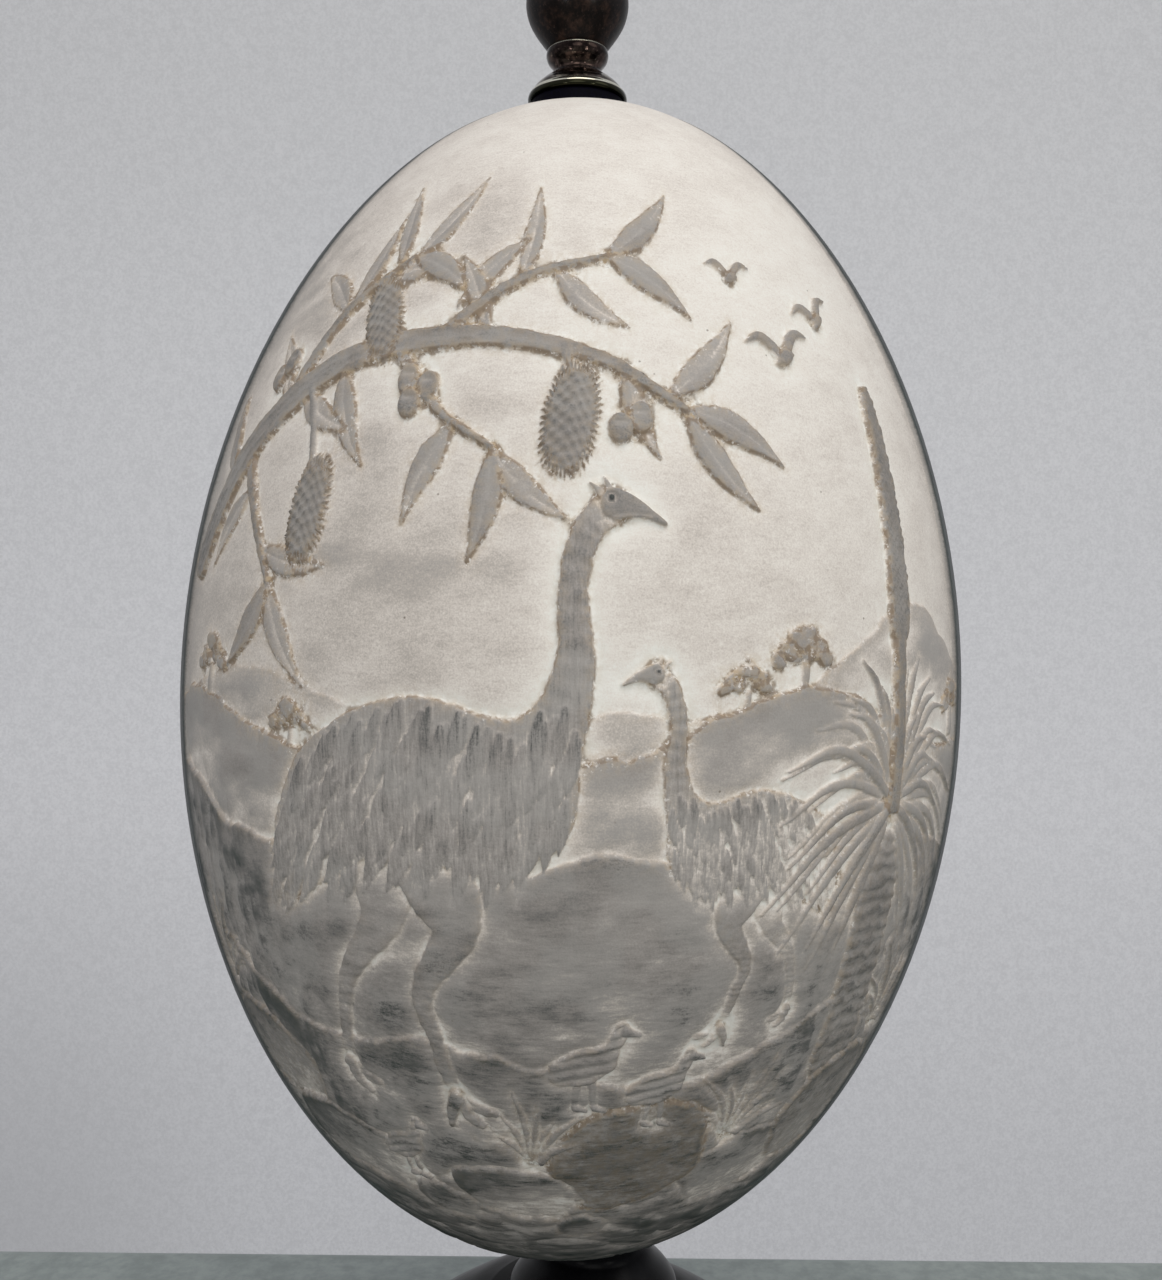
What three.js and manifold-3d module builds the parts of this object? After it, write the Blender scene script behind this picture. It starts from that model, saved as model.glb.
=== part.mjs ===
// A carved emu egg on a low turned stand, with a metal ferrule and a turned wooden finial on top.
// Millimetres, +Z up. The origin is on the stand's axis, at the centre of its underside.
// The carver cut away the dark outer shell over the egg's front, leaving a pale sunk field
// with the picture standing in it at a middle level. The back keeps its natural dark skin.
import * as THREE from "three";
import { mergeVertices } from "three/addons/utils/BufferGeometryUtils.js";
import Module from "manifold-3d";

const wasm = await Module();
wasm.setup();

// The egg
const EGG_LENGTH = 133.3;
const EGG_WIDTH = 89;
const EGG_TOP_TAPER = -0.0277; // one end is a little more pointed than the other
const EGG_END_TAPER = -0.0405; // and both are slimmer than a true ellipse
const EGG_LEAN = THREE.MathUtils.degToRad(1.44); // the top leans towards +X
const EGG_TOP_OFFSET = 1; // the upper pole stands this far to +X of the stand's axis
const EGG_ROWS = 34;
const EGG_SEGMENTS = 48;

// The carved field, cut below the natural skin and more shallow towards the upper pole
const FIELD_DEPTH = 0.72;
const FIELD_DEPTH_AT_TOP = 0.12;
const SHALLOW_FROM = 34; // heights above the egg's middle between which the depth changes
const SHALLOW_TO = 60;
const FIELD_EDGE = 18; // the field's edge lies this far in front of the egg's axis at mid height

// Heights on the stand's axis
const STAND_HEIGHT = 30; // floor to the egg's lower pole
const BASE_TOP = 21.9;
const POLE_TOP = STAND_HEIGHT + EGG_LENGTH;
const FERRULE_TOP = 7.1; // above the egg's upper pole, as are all heights of the ferrule and the finial

// Radii of the turned pieces
const FOOT_RADIUS = 34.8;
const COLLAR_RADIUS = 10.1;
const COLLAR_LIP_RADIUS = 6;
const FLANGE_RADIUS = 5.8;
const WAIST_RADIUS = 2.72;
const CUP_RADIUS = 3.62;
const FINIAL_RADIUS = 5.98;

const COLLAR_OFFSET = 1.9; // the collar sits a little off the stand's axis, towards +X

const SEAT_GAP = 0.3; // between the egg and what it is bedded in
const JOINT_GAP = 0.1; // between flat faces that meet

const HALF_LENGTH = EGG_LENGTH / 2;
const HALF_WIDTH = EGG_WIDTH / 2;

// Radius of the egg at a height given as a share of half its length, from -1 to 1.
function eggRadius(share) {
  const round = Math.sqrt(Math.max(0, 1 - share * share));
  return HALF_WIDTH * round * (1 + EGG_TOP_TAPER * share + EGG_END_TAPER * share * share);
}

// The egg's outline from pole to pole, moved outwards (inwards if negative) by what outwardsAt gives
// for each height above the egg's middle.
function eggProfile(outwardsAt) {
  const profile = [];
  for (let row = 0; row <= EGG_ROWS; row++) {
    const latitude = -Math.PI / 2 + (Math.PI * row) / EGG_ROWS;
    const height = Math.sin(latitude);
    const radius = row === 0 || row === EGG_ROWS ? 0 : eggRadius(height);
    const normal = new THREE.Vector2(Math.cos(latitude) / HALF_WIDTH, height / HALF_LENGTH).normalize();
    if (radius === 0) normal.set(0, Math.sign(height));
    const outwards = outwardsAt(HALF_LENGTH * height);
    profile.push([radius + normal.x * outwards, HALF_LENGTH * height + normal.y * outwards]);
  }
  return profile;
}

// A turned solid about Z from [radius, height] pairs listed from the bottom up.
function turned(profile, segments) {
  const points = profile.map(([radius, height]) => new THREE.Vector2(radius, height));
  return new THREE.LatheGeometry(points, segments).rotateX(Math.PI / 2);
}

// A smooth run of [radius, height] pairs through hand-set ones.
function curved(pairs, steps) {
  const spline = new THREE.SplineCurve(pairs.map(([radius, height]) => new THREE.Vector2(radius, height)));
  return spline.getPoints(steps).map((point) => [point.x, point.y]);
}

// A closed geometry as a solid for cutting and joining.
function solid(geometry) {
  const bare = geometry.clone();
  bare.deleteAttribute("normal");
  bare.deleteAttribute("uv");
  const welded = mergeVertices(bare, 1e-4);
  const corners = new Uint32Array(welded.index.array);
  const places = welded.attributes.position.array;
  return new wasm.Manifold(new wasm.Mesh({ numProp: 3, vertProperties: places, triVerts: corners }));
}

// A solid back as a geometry.
function geometryOf(shape) {
  const { vertProperties, triVerts, numProp, numVert } = shape.getMesh();
  const places = new Float32Array(numVert * 3);
  for (let vertex = 0; vertex < numVert; vertex++) {
    places.set(vertProperties.subarray(vertex * numProp, vertex * numProp + 3), vertex * 3);
  }
  const geometry = new THREE.BufferGeometry();
  geometry.setAttribute("position", new THREE.BufferAttribute(places, 3));
  geometry.setIndex(new THREE.BufferAttribute(triVerts, 1));
  geometry.computeVertexNormals();
  return geometry;
}

// Moves a geometry from the egg's own axes, with the origin at its centre, to its place on the stand.
function placedEgg(geometry) {
  return geometry
    .translate(0, 0, -HALF_LENGTH)
    .rotateY(EGG_LEAN)
    .translate(EGG_TOP_OFFSET, 0, POLE_TOP);
}

const eggLayer = (outwardsAt) => solid(turned(eggProfile(outwardsAt), EGG_SEGMENTS));

function fieldDepthAt(height) {
  const shallow = THREE.MathUtils.smoothstep(height, SHALLOW_FROM, SHALLOW_TO);
  return THREE.MathUtils.lerp(FIELD_DEPTH, FIELD_DEPTH_AT_TOP, shallow);
}

// Everything in front of the carved field's edge, which curves back to the poles at both ends.
function fieldCutter() {
  const steps = 24;
  const reach = 2 * EGG_WIDTH;
  const outline = new THREE.Shape();
  for (let step = 0; step <= steps; step++) {
    const share = -1 + (2 * step) / steps;
    const atTop = 10.5 * Math.max(0, share) ** 12;
    const atBottom = 11 * Math.max(0, -share) ** 10;
    const edge = FIELD_EDGE - 2.6 * share - 2.2 * share * share - atTop - atBottom;
    if (step === 0) outline.moveTo(-edge, share * HALF_LENGTH);
    else outline.lineTo(-edge, share * HALF_LENGTH);
  }
  outline.lineTo(-reach, HALF_LENGTH);
  outline.lineTo(-reach, -HALF_LENGTH);
  const cutter = new THREE.ExtrudeGeometry(outline, { depth: 2 * reach, bevelEnabled: false });
  // The outline is drawn across Y and up Z, and pulled along X.
  const upright = new THREE.Matrix4().makeBasis(
    new THREE.Vector3(0, 1, 0),
    new THREE.Vector3(0, 0, 1),
    new THREE.Vector3(1, 0, 0),
  );
  return solid(cutter.translate(0, 0, -reach).applyMatrix4(upright));
}

function carvedEgg() {
  const shell = eggLayer(() => 0).subtract(fieldCutter());
  const core = eggLayer((height) => -fieldDepthAt(height));
  return placedEgg(geometryOf(core.add(shell)));
}

// A turned piece with the egg's own curve cut into the face that meets it.
function bedded(geometry) {
  const seat = solid(placedEgg(turned(eggProfile(() => SEAT_GAP), EGG_SEGMENTS)));
  return geometryOf(solid(geometry).subtract(seat));
}

// The base: a moulded foot, a cove and a dome that rises to the collar.
function standBase() {
  const lowerDome = [[29.9, 7.6], [28.35, 9.95], [24.3, 13.9]];
  const upperDome = [[19.5, 17.45], [14.75, 20.4], [10.9, BASE_TOP]];
  const dome = curved([...lowerDome, ...upperDome], 9);
  const torus = [[FOOT_RADIUS - 0.9, 0], [FOOT_RADIUS, 2.6], [FOOT_RADIUS - 0.5, 4.6], [FOOT_RADIUS - 2, 5.8]];
  const foot = curved(torus, 5);
  return turned([[0, 0], ...foot, [30.7, 6.2], ...dome, [0, BASE_TOP]], 56);
}

// The collar: a rounded knob with a short lip that the egg is bedded on.
function collar() {
  const foot = BASE_TOP + JOINT_GAP;
  const knob = curved([[8.9, foot], [COLLAR_RADIUS, 23.4], [9.3, 25], [7.6, 26.8], [6.3, 28.3]], 7);
  const profile = [[0, foot], ...knob, [COLLAR_LIP_RADIUS, 29.2], [COLLAR_LIP_RADIUS, 32], [0, 32]];
  return bedded(turned(profile, 40).translate(COLLAR_OFFSET, 0, 0));
}

// The black washer between the shell and the metal.
function washer() {
  const top = POLE_TOP + 0.95;
  return bedded(turned([[0, POLE_TOP - 3], [5.5, POLE_TOP - 3], [5.6, top - 0.2], [5.4, top], [0, top]], 36));
}

// The ferrule: a flange on the washer, a bell, a waist and a flared cup.
function ferrule() {
  const rimBelow = [[0, 1.05], [FLANGE_RADIUS - 0.15, 1.05]];
  const flange = [...rimBelow, [FLANGE_RADIUS, 1.35], [FLANGE_RADIUS - 0.2, 1.92]];
  const bell = curved([[5.38, 2.12], [4.85, 2.85], [3.85, 3.7], [2.95, 4.3], [WAIST_RADIUS, 4.65]], 5);
  const cup = curved([[2.95, 5.15], [3.42, 5.75], [CUP_RADIUS, 6.3]], 3);
  const rim = [[CUP_RADIUS, 6.6], [CUP_RADIUS - 0.1, FERRULE_TOP], [0, FERRULE_TOP]];
  const profile = [...flange, ...bell, ...cup, ...rim];
  return turned(profile.map(([radius, height]) => [radius, POLE_TOP + height]), 36);
}

// The finial: a pear-shaped knob with a small bead on top.
function finial() {
  const foot = FERRULE_TOP + JOINT_GAP;
  const belly = [[3.45, foot], [4.3, 8.3], [5.12, 9.5], [5.7, 10.7], [FINIAL_RADIUS, 12.2]];
  const shoulder = [[5.8, 13.8], [5.25, 15.1], [4.4, 16.4], [3.2, 17.4], [1.7, 18.2]];
  const knob = curved([...belly, ...shoulder], 14);
  const bead = curved([[1.7, 18.5], [2.1, 19.5], [1.5, 20.7], [0, 21.3]], 6);
  const profile = [[0, foot], ...knob, ...bead];
  return turned(profile.map(([radius, height]) => [radius, POLE_TOP + height]), 36);
}

function piece(name, geometry, color, roughness, metalness) {
  const mesh = new THREE.Mesh(geometry, new THREE.MeshStandardMaterial({ color, roughness, metalness }));
  mesh.name = name;
  return mesh;
}

const carvedEggOnStand = new THREE.Group();
carvedEggOnStand.add(
  piece("stand_base", standBase(), 0x17171a, 0.3, 0),
  piece("stand_collar", collar(), 0x141417, 0.25, 0),
  piece("egg", carvedEgg(), 0xcfc9c0, 0.6, 0),
  piece("washer", washer(), 0x0d0d10, 0.8, 0),
  piece("ferrule", ferrule(), 0x6c675b, 0.25, 1),
  piece("finial", finial(), 0x2a1c16, 0.3, 0),
);

export default carvedEggOnStand;
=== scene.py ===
import math

import bpy
import numpy as np
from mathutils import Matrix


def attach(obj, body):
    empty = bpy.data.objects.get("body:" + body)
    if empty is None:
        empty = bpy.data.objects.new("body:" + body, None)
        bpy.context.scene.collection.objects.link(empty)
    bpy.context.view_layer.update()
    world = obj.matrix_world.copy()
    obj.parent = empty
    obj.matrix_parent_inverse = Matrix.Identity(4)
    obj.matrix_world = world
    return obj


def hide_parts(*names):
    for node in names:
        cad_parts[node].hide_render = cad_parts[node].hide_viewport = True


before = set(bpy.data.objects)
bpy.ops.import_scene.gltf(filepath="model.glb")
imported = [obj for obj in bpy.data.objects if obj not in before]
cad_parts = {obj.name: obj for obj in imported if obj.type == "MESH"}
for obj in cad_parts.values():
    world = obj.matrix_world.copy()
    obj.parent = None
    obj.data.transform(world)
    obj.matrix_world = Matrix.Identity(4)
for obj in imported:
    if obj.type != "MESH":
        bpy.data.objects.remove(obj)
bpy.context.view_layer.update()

MM = 0.001

# The egg: an outline of revolution, slimmer than a true ellipse and a little pointed at one end
HALF_LENGTH = 66.65
HALF_WIDTH = 44.5
TOP_TAPER = -0.0277
END_TAPER = -0.0405
LEAN = math.radians(1.44)
TOP_OFFSET = 1.0
POLE_TOP = 163.3
COLLAR_OFFSET = 1.9  # the collar sits a little off the stand's axis, towards +X

# The carving, as depths below the natural skin
SKY = 0.70
DEEPEST = 0.86
SHALLOW_FROM = 34.0  # the cutting grows shallow between these heights above the egg's middle
SHALLOW_TO = 60.0
SHALLOWED = 0.83  # the share of its depth that is gone at the top
FIELD_EDGE = 18.0  # the field's edge lies this far in front of the egg's axis at mid height
FAR = 99.0  # stands for a distance out of reach

# The meshes
SHELL_TRIANGLES = 192000
SMOOTH_UNDER = math.radians(40)  # edges bent less than this are shaded smooth

# The photographer's place, in metres, and lens
CAMERA_PLACE = (0.00042, -0.149, 0.1072)
CAMERA_DIP = math.radians(2.21)
LENS = 35.18


# Numbers on a surface

def ease(low, high, value):
    """0 below low, 1 above high, and a smooth step between."""
    share = np.clip((value - low) / (high - low), 0.0, 1.0)
    return share * share * (3.0 - 2.0 * share)


def unevenness(across, up, lump, kind):
    """Smooth unevenness from -1 to 1 with lumps of about the given size; each kind is another pattern."""
    a, u = across / lump, up / lump
    whole_a, whole_u = np.floor(a).astype(np.int64), np.floor(u).astype(np.int64)
    part_a, part_u = a - whole_a, u - whole_u
    part_a = part_a * part_a * (3 - 2 * part_a)
    part_u = part_u * part_u * (3 - 2 * part_u)

    def corner(i, j):
        mixed = (i * 374761393 + j * 668265263 + kind * 974634777) & 0x7FFFFFFF
        mixed = ((mixed ^ (mixed >> 13)) * 1274126177) & 0x7FFFFFFF
        return ((mixed ^ (mixed >> 16)) & 0xFFFF) / 32767.5 - 1.0

    low = corner(whole_a, whole_u) * (1 - part_a) + corner(whole_a + 1, whole_u) * part_a
    high = corner(whole_a, whole_u + 1) * (1 - part_a) + corner(whole_a + 1, whole_u + 1) * part_a
    return low * (1 - part_u) + high * part_u


def smooth_run(points, steps=6):
    """A smooth run of points through given ones."""
    p = np.array(points, float)
    padded = np.vstack([2 * p[0] - p[1], p, 2 * p[-1] - p[-2]])
    run = []
    for i in range(len(p) - 1):
        a, b, c, d = padded[i:i + 4]
        for t in np.linspace(0, 1, steps, endpoint=False):
            bend = (2 * a - 5 * b + 4 * c - d) * t ** 2 + (3 * b - a - 3 * c + d) * t ** 3
            run.append(0.5 * (2 * b + (c - a) * t + bend))
    run.append(p[-1])
    return np.array(run)


class Carving:
    """The picture, worked at places on the egg given as mm across its girth and up its length."""

    REACH = 9.0  # no cut is felt further than this from its edge

    def __init__(self, across, up):
        self.across, self.up = across, up
        self.depth = np.full(across.shape, SKY)
        self.edge = np.full(across.shape, FAR)
        self.stain = np.zeros(across.shape)
        self.brown = np.zeros(across.shape)
        self.hair = np.zeros(across.shape)
        self.ragged = unevenness(across, up, 0.9, 1) * 0.6 + unevenness(across, up, 0.42, 2) * 0.4

    def uneven(self, lump, kind):
        return unevenness(self.across, self.up, lump, kind)

    def stroke(self, points, reach=6.0, steps=6):
        """Distance outside a tapering stroke, and the share of its length at each place."""
        run = smooth_run(points, steps)
        room = reach + run[:, 2].max()
        low, high = run[:, :2].min(0) - room, run[:, :2].max(0) + room
        near = (self.across > low[0]) & (self.across < high[0]) & (self.up > low[1]) & (self.up < high[1])
        distance, along = np.full(self.across.shape, FAR), np.zeros(self.across.shape)
        x, y = self.across[near], self.up[near]
        best, where = np.full(x.shape, FAR), np.zeros(x.shape)
        for i, ((ax, ay, ar), (bx, by, br)) in enumerate(zip(run[:-1], run[1:])):
            dx, dy = bx - ax, by - ay
            t = np.clip(((x - ax) * dx + (y - ay) * dy) / (dx * dx + dy * dy + 1e-9), 0, 1)
            d = np.hypot(x - ax - t * dx, y - ay - t * dy) - (ar + (br - ar) * t)
            closer = d < best
            best = np.where(closer, d, best)
            where = np.where(closer, (i + t) / (len(run) - 1), where)
        distance[near], along[near] = best, where
        return distance, along

    def oval(self, across, up, half_width, half_height, turn=0.0, square=2.0):
        c, s = math.cos(math.radians(turn)), math.sin(math.radians(turn))
        x, y = self.across - across, self.up - up
        a, b = np.abs(x * c + y * s) / half_width, np.abs(-x * s + y * c) / half_height
        return ((a ** square + b ** square) ** (1 / square) - 1.0) * min(half_width, half_height)

    def leave(self, distance, level, moat=0.0, spread=1.0, wall=0.2, rough=0.14, stain=0.0, brown=0.0,
              fine=FAR, hair=0.0):
        """Leaves a shape standing at a depth, and cuts a hollow round it that fades outwards."""
        touched = np.flatnonzero(distance < self.REACH)
        distance = distance[touched]
        level = level[touched] if isinstance(level, np.ndarray) else level
        before = self.depth[touched]
        rough_distance = distance + rough * self.ragged[touched]
        inside = 1 - ease(-wall, wall, rough_distance)
        away = np.clip(rough_distance, 0, None)
        near = (0.6 * np.exp(-away / 0.38) + 0.4 * np.exp(-away / (1.7 * spread))) * (1 - inside)
        outside = np.minimum(before + moat * near, np.maximum(before, DEEPEST))
        self.depth[touched] = outside * (1 - inside) + level * inside
        edge = np.abs(distance)
        edge = np.where(inside > 0.98, np.minimum(edge, fine), np.minimum(self.edge[touched], edge))
        self.edge[touched] = edge
        lines = stain * np.exp(-np.abs(rough_distance) / 0.40)
        self.stain[touched] = self.stain[touched] * (1 - inside) + lines
        self.brown[touched] = self.brown[touched] * (1 - inside) + brown * inside
        self.hair[touched] = self.hair[touched] * (1 - inside) + hair * inside

    def groove(self, points, cut, spread):
        """Cuts a thin line."""
        distance, _ = self.stroke(points, 2.0)
        near = np.exp(-np.clip(distance, 0, None) / spread)
        self.depth = np.minimum(self.depth + cut * near, np.maximum(self.depth, DEEPEST))
        self.edge = np.where(near > 0.25, np.minimum(self.edge, np.abs(distance)), self.edge)


def ridge(across, height, swells):
    line = np.full(across.shape, float(height))
    for centre, width, rise in swells:
        line += rise * np.exp(-((across - centre) / width) ** 2)
    return line


def scraped(c, lump, kind):
    """Slanting strokes of the scraper, from -1 to 1."""
    return unevenness(c.across * 0.55 + c.up * 0.5, c.up * 1.7 - c.across * 0.35, lump, kind)


def joined(a, b, blend):
    """Two distances as one, with a smooth fillet where the shapes meet."""
    share = np.clip(0.5 + 0.5 * (b - a) / blend, 0, 1)
    return b * (1 - share) + a * share - blend * share * (1 - share)


def clouds(c):
    """Faint slanting wisps, scraped less deep than the rest of the sky."""
    broad = scraped(c, 8.0, 61) + 0.45 * scraped(c, 2.8, 62)
    # Towards the left the sky is cut shallower and so greyer: partly the carver's scraping, partly painted
    # shade.
    left = ease(32, -40, c.across) * ease(66, 44, c.up)
    thin = 0.09 * left + 0.065 * ease(48, 8, c.up) - 0.028
    c.depth = c.depth - thin - (0.03 + 0.08 * left) * ease(-0.15, 0.95, broad) - 0.025 * scraped(c, 1.1, 63)


def lay_range(c, line, shade, fade, pale, moat, stain, kind):
    """A range of hills, darkest along its crest and scraped paler below."""
    below = line - c.up
    wander = c.uneven(3.2, kind) * 0.45
    wander = wander + c.uneven(1.3, kind + 20) * 0.25
    slope = pale * (1 - np.exp(-np.clip(below, 0, None) / fade))
    sweeps = 0.12 * scraped(c, 4.6, kind + 30) + 0.06 * scraped(c, 1.4, kind + 40)
    sweeps = sweeps + 0.05 * c.ragged * ease(0, 4, below)
    tone = shade + slope + sweeps * ease(0, 3, below)
    c.leave(-below + wander, tone, moat, spread=1.1, wall=0.24, stain=stain)


def horizon(c):
    """The palest range, behind the far trees."""
    palest = ridge(c.across, -3.0, [(-34, 15, 6), (6, 10, 3), (38, 16, 13)])
    lay_range(c, palest, shade=0.49, fade=5.0, pale=0.10, moat=0.06, stain=0.4, kind=8)


def hills(c):
    """Two nearer ranges and the near bank."""
    far = ridge(c.across, -6.0, [(-44, 14, 6), (-10, 12, 2.4), (23, 15, 8.5), (52, 9, 2)])
    middle = ridge(c.across, -17.0, [(-52, 15, 9), (-26, 10, 3.2), (5, 12, 5.0), (40, 12, 4.2)])
    bank = ridge(c.across, -33.0, [(-46, 12, 8), (-14, 11, 2.5), (12, 9, -2.0), (33, 11, 5), (52, 8, 3)])
    lay_range(c, far, shade=0.34, fade=4.5, pale=0.18, moat=0.12, stain=0.8, kind=5)
    lay_range(c, middle, shade=0.22, fade=7.0, pale=0.14, moat=0.28, stain=0.3, kind=6)
    lay_range(c, bank, shade=0.18, fade=9.0, pale=0.11, moat=0.30, stain=0.25, kind=7)


def placed(place, size, face=1):
    """Turns points drawn about an animal's middle into points on the egg."""
    def at(*points):
        return [(place[0] + face * x * size, place[1] + y * size, r * size) for x, y, r in points]
    return at


def locks(c, place, size, face, level):
    """Drooping locks of plumage, overlapping like thatch, laid from the belly up to the spine."""
    at = placed(place, size, face)
    spots = []
    for row in range(14):
        for k in range(26):
            x = -17.6 + 1.28 * k + 0.64 * (row % 2) + 0.40 * math.sin(row * 5.1 + k * 2.7)
            spots.append((x, -7.6 + 1.32 * row + 0.50 * math.sin(k * 4.3 + row * 1.9), 0.0))
    roots = np.array(at(*spots))
    probe = Carving(roots[:, 0], roots[:, 1])
    covered = probe.stroke(at(*BODY), 9)[0]
    for part in (TAIL, NECK[:2]):
        covered = np.minimum(covered, probe.stroke(at(*part), 9)[0])
    for i, (x, y, _) in enumerate(spots):
        if covered[i] > -0.5 * size:
            continue
        fall = 4.0 + 0.9 * math.sin(i * 3.7)
        back = 0.16 + 0.34 * float(ease(6.0, -15.0, x)) + 0.05 * math.sin(i * 1.3)
        lock = [(x + 0.1, y + 0.3, 0.3), (x - back, y - 0.35 * fall, 0.62),
                (x - back * 2.4, y - 0.72 * fall, 0.44), (x - back * 4.4, y - fall, 0.06)]
        distance, along = c.stroke(at(*lock), 1.2, 3)
        tone = level - 0.03 + 0.16 * along ** 1.6 + 0.05 * math.sin(i * 2.3)
        c.leave(distance, tone, moat=0.075, spread=0.12, wall=0.10, rough=0.05, stain=0.10 * (y < -5.5),
                fine=0.2, hair=1.0)


FAR_LEG = [[(-4.0, -6, 3.8), (-5.0, -11, 2.1), (-9.4, -16.5, 1.1), (-11.2, -21.5, 0.8), (-12.6, -27.6, 0.75)],
           [(-12.6, -27.4, 0.75), (-10.6, -28.6, 0.6), (-8.6, -29.0, 0.25)],
           [(-12.6, -27.4, 0.75), (-11.9, -29.3, 0.55), (-10.4, -30.4, 0.25)]]
NEAR_LEG = [[(1.5, -6, 4.0), (3.2, -11, 2.3), (-0.8, -17.5, 1.15), (0.2, -23, 0.85), (1.6, -29.6, 0.85)],
            [(1.6, -29.4, 0.9), (4.0, -30.3, 0.7), (6.2, -30.8, 0.3)],
            [(1.5, -29.4, 0.9), (2.8, -31.3, 0.65), (4.4, -32.4, 0.3)],
            [(1.5, -29.4, 0.9), (0.6, -31.2, 0.6), (0.4, -32.6, 0.25)]]
BODY = [(-12.5, -3.5, 4.2), (-8, 1.2, 6.4), (-1, 3.0, 7.8), (5.5, 1.8, 6.9), (9.6, 1.2, 4.8)]
TAIL = [(-10, 0.5, 5.2), (-14.5, -4.5, 3.6), (-17.0, -9.4, 1.4)]
NECK = [(8.5, 2.0, 5.0), (12.6, 8.0, 2.9), (14.4, 14.5, 1.8), (14.0, 21.0, 1.4), (15.2, 26.4, 1.5),
        (17.6, 28.8, 1.8)]
BEAK = [(18.0, 29.0, 1.5), (20.4, 28.5, 0.75), (22.8, 27.3, 0.18)]
CREST = [[(16.6, 30.0, 0.5), (15.4, 30.9, 0.1)], [(17.4, 30.3, 0.45), (16.8, 31.5, 0.1)]]


def emu(c, place, size, face, level):
    """A walking emu: drooping plumage, long neck, bare legs."""
    at = placed(place, size, face)
    shank = ease(-13, -18, (c.up - place[1]) / size)
    scales = 0.045 * shank * np.sin(c.up * 6.0 / size + 1.0 * c.ragged)
    scales = scales + 0.07 * (1 - shank) * scraped(c, 1.6, 15)
    for part in FAR_LEG:
        c.leave(c.stroke(at(*part))[0], level + 0.10 + scales, moat=0.40, spread=0.6, stain=0.2, fine=0.5)
    for part in NEAR_LEG:
        c.leave(c.stroke(at(*part))[0], level + 0.01 + scales, moat=0.42, spread=0.7, stain=0.25, fine=0.5)
    body, _ = c.stroke(at(*BODY), 9)
    tail, _ = c.stroke(at(*TAIL), 8)
    neck, along = c.stroke(at(*NECK), 9)
    whole = joined(joined(body, tail, 2.0), neck, 3.5 * size)
    onto_neck = ease(0.16, 0.42, along)
    rings = 0.035 * np.sin(along * 95) + 0.05 * c.uneven(0.7, 14)
    x, y = (c.across - place[0]) * face / size, (c.up - place[1]) / size
    pale_front = 0.06 * ease(-0.4, 2.0, x - 12.6 - 0.1 * y)
    shaded = level + 0.10 + 0.10 * ease(1.0, -8.0, y)
    tone = shaded * (1 - onto_neck) + (level + 0.03 + rings + pale_front) * onto_neck
    c.leave(whole, tone, moat=0.36, stain=0.7, fine=0.2, hair=0.7)
    locks(c, place, size, face, level)
    for part in CREST:
        c.leave(c.stroke(at(*part))[0], level + 0.04, moat=0.2, spread=0.4, wall=0.14, rough=0.05, stain=0.3)
    c.leave(c.stroke(at(*BEAK))[0], level - 0.02, moat=0.25, spread=0.6, wall=0.15, rough=0.05, stain=0.4)
    c.groove(at((16.2, 27.2, 0.0), (18.6, 28.0, 0.0), (21.4, 28.0, 0.0)), cut=0.16, spread=0.14)
    eye = at((17.5, 29.5, 0.0))[0]
    c.leave(c.oval(eye[0], eye[1], 0.62 * size, 0.55 * size), 0.62, spread=0.3, wall=0.12, rough=0.03)
    c.leave(c.oval(eye[0], eye[1], 0.34 * size, 0.34 * size), 0.08, spread=0.3, wall=0.1, rough=0.02)


def chick(c, place, size, face):
    """A striped chick."""
    at = placed(place, size, face)
    for part in ([(-0.6, -1, 0.45), (-0.9, -4.4, 0.28)], [(1.0, -1, 0.45), (1.3, -4.4, 0.28)],
                 [(-0.9, -4.4, 0.28), (0.6, -4.8, 0.15)], [(1.3, -4.4, 0.28), (2.8, -4.8, 0.15)]):
        c.leave(c.stroke(at(*part), 3)[0], 0.26, moat=0.34, spread=0.4, wall=0.14, rough=0.04)
    body, _ = c.stroke(at((-2.6, -0.4, 1.3), (0, 0.3, 1.9), (2.2, 1.0, 1.3)), 3)
    neck, _ = c.stroke(at((2.0, 1.0, 1.2), (3.2, 2.9, 0.75), (3.9, 4.2, 0.9)), 3)
    beak, _ = c.stroke(at((4.2, 4.2, 0.5), (5.8, 3.8, 0.1)), 3)
    bent = (c.up - place[1]) - 0.22 * (c.across - place[0]) * face
    bent = bent + 0.12 * c.uneven(1.2, 19)
    stripes = 0.5 + 0.5 * np.sin(bent * 5.6 / size)
    whole = joined(body, neck, 0.8)
    c.leave(whole, 0.23 + 0.20 * stripes, moat=0.34, spread=0.5, wall=0.14, rough=0.05, stain=0.3, fine=0.2)
    c.leave(beak, 0.24, moat=0.3, spread=0.4, wall=0.12, rough=0.03)


def leaf(c, base, length, angle, curl, width, level):
    """One long gum leaf with its middle rib and a paler half."""
    a = math.radians(angle)
    ahead, side = np.array([math.cos(a), math.sin(a)]), np.array([-math.sin(a), math.cos(a)])
    points = []
    for share, half in ((0, 0.12), (0.12, 0.45), (0.38, 1.0), (0.65, 0.78), (0.88, 0.3), (1.0, 0.05)):
        p = np.array(base) + ahead * length * share + side * curl * length * share * (share - 0.25) * 1.2
        points.append((p[0], p[1], half * width))
    d, along = c.stroke(points, 3.0, 3)
    turned_half = ease(-0.3, 0.5, (c.across - base[0]) * side[0] + (c.up - base[1]) * side[1]) * 0.08
    c.leave(d, level + 0.10 * along + turned_half, moat=0.10, spread=0.8, wall=0.17, rough=0.09, stain=0.8)
    c.groove([(x, y, 0.0) for x, y, _ in points[1:-1]], cut=0.16, spread=0.13)


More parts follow.
